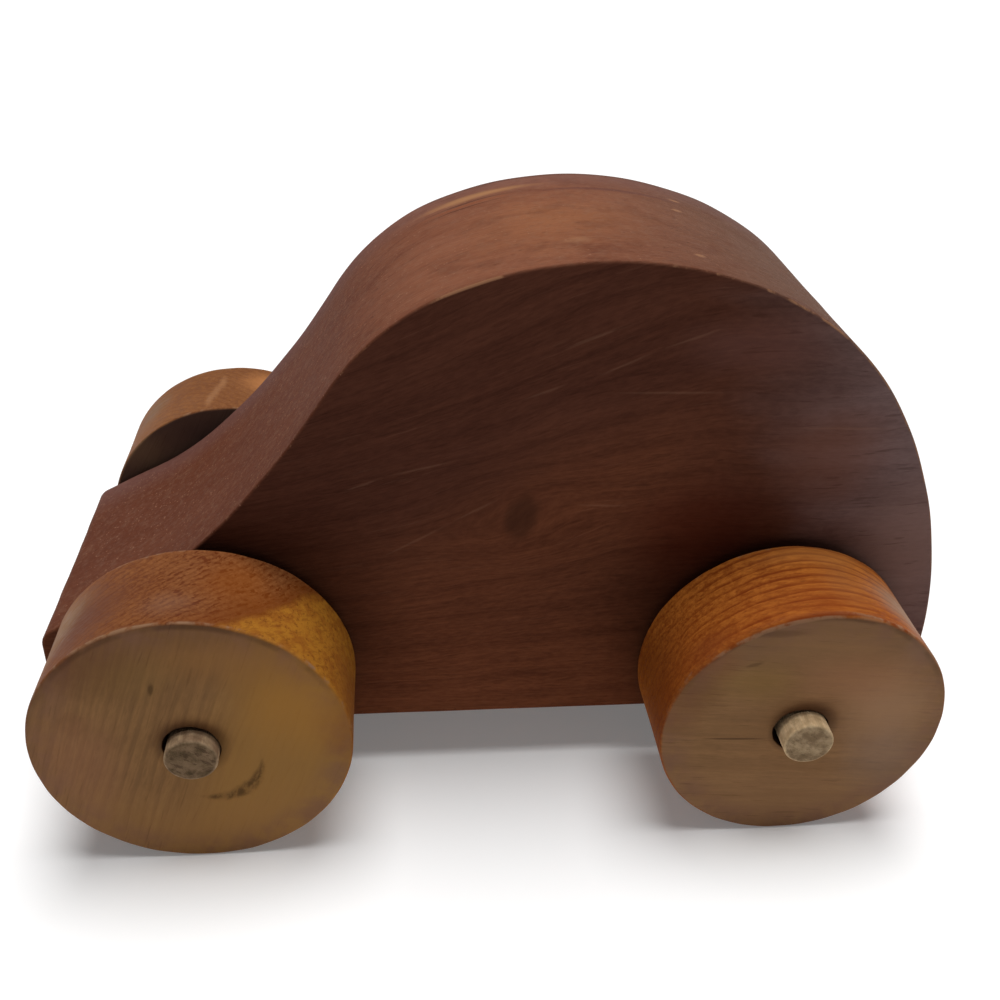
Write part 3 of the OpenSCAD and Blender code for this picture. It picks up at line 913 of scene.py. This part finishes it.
for name, look in wheels.items():
    low, high = (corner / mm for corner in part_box(name))
    middle = (low + high) / 2
    radius = (high.z - low.z) / 2
    rings, marks = wheel_rings(middle, radius, low.y, high.y, look["seed"], look["gape"],
                               *look.get("worst", ()))
    faces = [grid_quads(len(rings), wheel_turns, rows_close=True)]
    piece = make_piece(name + "_disc", rings.reshape(-1, 3), faces,
                       dict(zip(("rim", "tread", "mouth"), marks)))
    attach(piece, look["body"])
    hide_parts(name)

    tree = new_material(name + "_wood", piece)
    place = place_in(tree, middle)
    board = place_in(tree, middle, (0, radians(look["lean"]), 0))
    lying = vectors(tree, "SUBTRACT", board, (0, *look["heart"]))
    grain = put(tree, board_grain, {"Place": lying, "Ring Width": look["ring"], "Wander": 4.0})
    x, y, z = split(tree, place)
    out = vectors(tree, "LENGTH", vectors(tree, "MULTIPLY", place, (1, 0, 1)))
    inward = times(tree, y, -1 if middle.y > 0 else 1)
    inner = ramp(tree, inward, 9.0, 10.0)

    # The face: streaked, browner above, paler below in painted light bounced from the floor, greyed
    # near the rim, with a painted shadow line inside the rim at the top
    clouds = ramp(tree, mottle(tree, place, 0.10, 4, 0.6), 0.2, 0.8)
    streaks = total(tree, mixed(tree, grain, Fibre=0.45, Dash=0.23), times(tree, clouds, 0.32))
    face = blend(tree, streaks, *look["face"])
    face = over(tree, face, look["face"][0], grain["Late"], 0.45)
    sap_on_face = 0.0
    if "sapwood" in look:
        sap_on_face = ramp(tree, grain["From Heart"], *look["sap_face_from"])
        face = over(tree, face, look["sap_face"], sap_on_face, 0.85)
    # Paler towards the bottom: painted light bounced up from the floor.
    face = blend(tree, ramp(tree, z, -4, -26, 0, 0.65), face, look["face_bounce_lit"])
    face = blend(tree, ramp(tree, z, 8, 27, 0, 0.6), face, look["face_top"])
    greyed = ramp(tree, mottle(tree, place, 0.2, 4, 0.6), 0.35, 0.65, 0.1, 0.6)
    face = over(tree, face, rim_grey, ramp(tree, out, radius - 8, radius - 1), greyed)
    # A painted shadow line just inside the rim, along the top of the face.
    rim_shadow_breaks = ramp(tree, mottle(tree, place, 0.12, 3, 0.6), 0.36, 0.60, 0.1, 0.55)
    face = over(tree, face, rim_shadow_brown, ramp(tree, out, radius - 1.8, radius - 0.9),
                ramp(tree, z, 4, 20), rim_shadow_breaks)
    face = over(tree, face, inner_brown, inner, 0.9)

    # The tread: the board's rings as lines, flecked on its end grain, and the pale sapwood
    around = blend(tree, streaks, *look["tread"])
    around = over(tree, around, look["tread"][0], grain["Late"], look["late"],
                  ramp(tree, x, -26, -12, 0.4, 1.0))
    rough_spots = ramp(tree, mottle(tree, place, 0.8, 3, 0.7), 0.50, 0.64, 0, 0.25)
    around = over(tree, around, look["tread"][1], rough_spots, ramp(tree, x, -2, -18))
    off_middle = maths(tree, "ABSOLUTE", split(tree, board)["X"])
    end_grain = times(tree, ramp(tree, off_middle, 12, 24),
                      ramp(tree, x, *look["fleck_x"], 0.3, 1.0))
    around = over(tree, around, look["tread"][0], grain["Flecks"], end_grain, look["flecked"])
    if "sapwood" in look:
        near_sap = ramp(tree, grain["From Heart"], look["stained_from"], look["sapwood"] - 1.5,
                        0, 0.6)
        around = blend(tree, near_sap, around, near_sap_brown)
        sap = over(tree, look["sap_tread"], sap_fleck, grain["Flecks"], 0.45)
        sap_patches = ramp(tree, mottle(tree, place, 0.32, 4, 0.7), 0.44, 0.60, 0, 0.6)
        sap = blend(tree, sap_patches, sap, sap_patch)
        specks = ramp(tree, mottle(tree, place, 1.1, 3, 0.7), 0.54, 0.66, 0, 0.6)
        sap = blend(tree, specks, sap, sap_speck)
        sap_on_tread = ramp(tree, grain["From Heart"], look["sapwood"] - 1.6,
                            look["sapwood"] + 1.0)
        around = over(tree, around, sap, sap_on_tread, 0.92)
    near_face = ramp(tree, inward, 6, -8, 0, look["near_face"])
    around = blend(tree, near_face, around, look["tread"][0])

    # Both: pores, the wheel's own marks, the rubbed rim, darker round the top of the dowel, and
    # painted shade in the mouth
    colour = blend(tree, value_of(tree, "tread"), face, around)
    colour = over(tree, colour, pore_brown, grain["Pores"],
                  ramp(tree, sap_on_face, 0, 1, 0.22, 0.06))
    for mark_middle, sizes, share, tint, *shape in look["marks"]:
        lean, softness = shape or (0, 0.9)
        spot = mark_at(tree, place, mark_middle, sizes, lean, softness, 0.6)
        colour = over(tree, colour, tint, spot, share)
    if name == "front_left_wheel":
        # A bow-shaped scar below the dowel: one round mark less another
        outer_bow = mark_at(tree, place, (4.0, -face_y, -5.1), (8.9, 40, 8.9), 0, 0.14, 0.22)
        inner_bow = mark_at(tree, place, (0, -face_y, 0), (13.1, 40, 13.1), 0, 0.10, 0.14)
        torn = ramp(tree, mottle(tree, board, (0.3, 0.9, 0.9), 4, 0.7), 0.38, 0.58, 0.3, 0.8)
        colour = over(tree, colour, bow_brown, outer_bow,
                      maths(tree, "SUBTRACT", 1.0, inner_bow),
                      ramp(tree, y, 0.7 - face_y, 0.2 - face_y), torn)
    rub = times(tree, ramp(tree, z, -4, 18, 0.3, 0.62),
                ramp(tree, mottle(tree, place, 0.08, 2, 0.5), 0.4, 0.6, 0.6, 1.05),
                ramp(tree, inner, 0, 1, 1, 0.4), ramp(tree, x, -24, -10, 0.4, 1))
    if "worn_to" in look:
        rub = times(tree, rub, ramp(tree, x, *look["worn_to"], 1, 0.45))
    worn = put(tree, worn_rim, {"Rim": value_of(tree, "rim"), "Place": place,
                                "Amount": rub})[0]
    colour = over(tree, colour, look["rubbed"], worn, 0.8)
    # Darker round the upper half of the dowel.
    colour = over(tree, colour, dowel_halo_brown, ramp(tree, out, 8.4, 5.2), ramp(tree, z, -1, 5), 0.6)
    # The hole and its mouth near black: painted shade in the recess.
    colour = blend(tree, value_of(tree, "mouth"), colour, mouth_painted_shade)
    rough = total(tree, 0.5, times(tree, grain["Fibre"], 0.2))
    height = mixed(tree, grain, Fibre=0.5, Late=0.4, Pores=-0.5)
    finish_wood(tree, colour, rough, height, depth=0.03, gloss=0.05)


# The sizes before and after dressing, for comparing the two
sizes = {"cad": [[float(c) for c in corner] for corner in cad_box],
         "dressed": [[float(c) for c in corner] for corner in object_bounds()]}
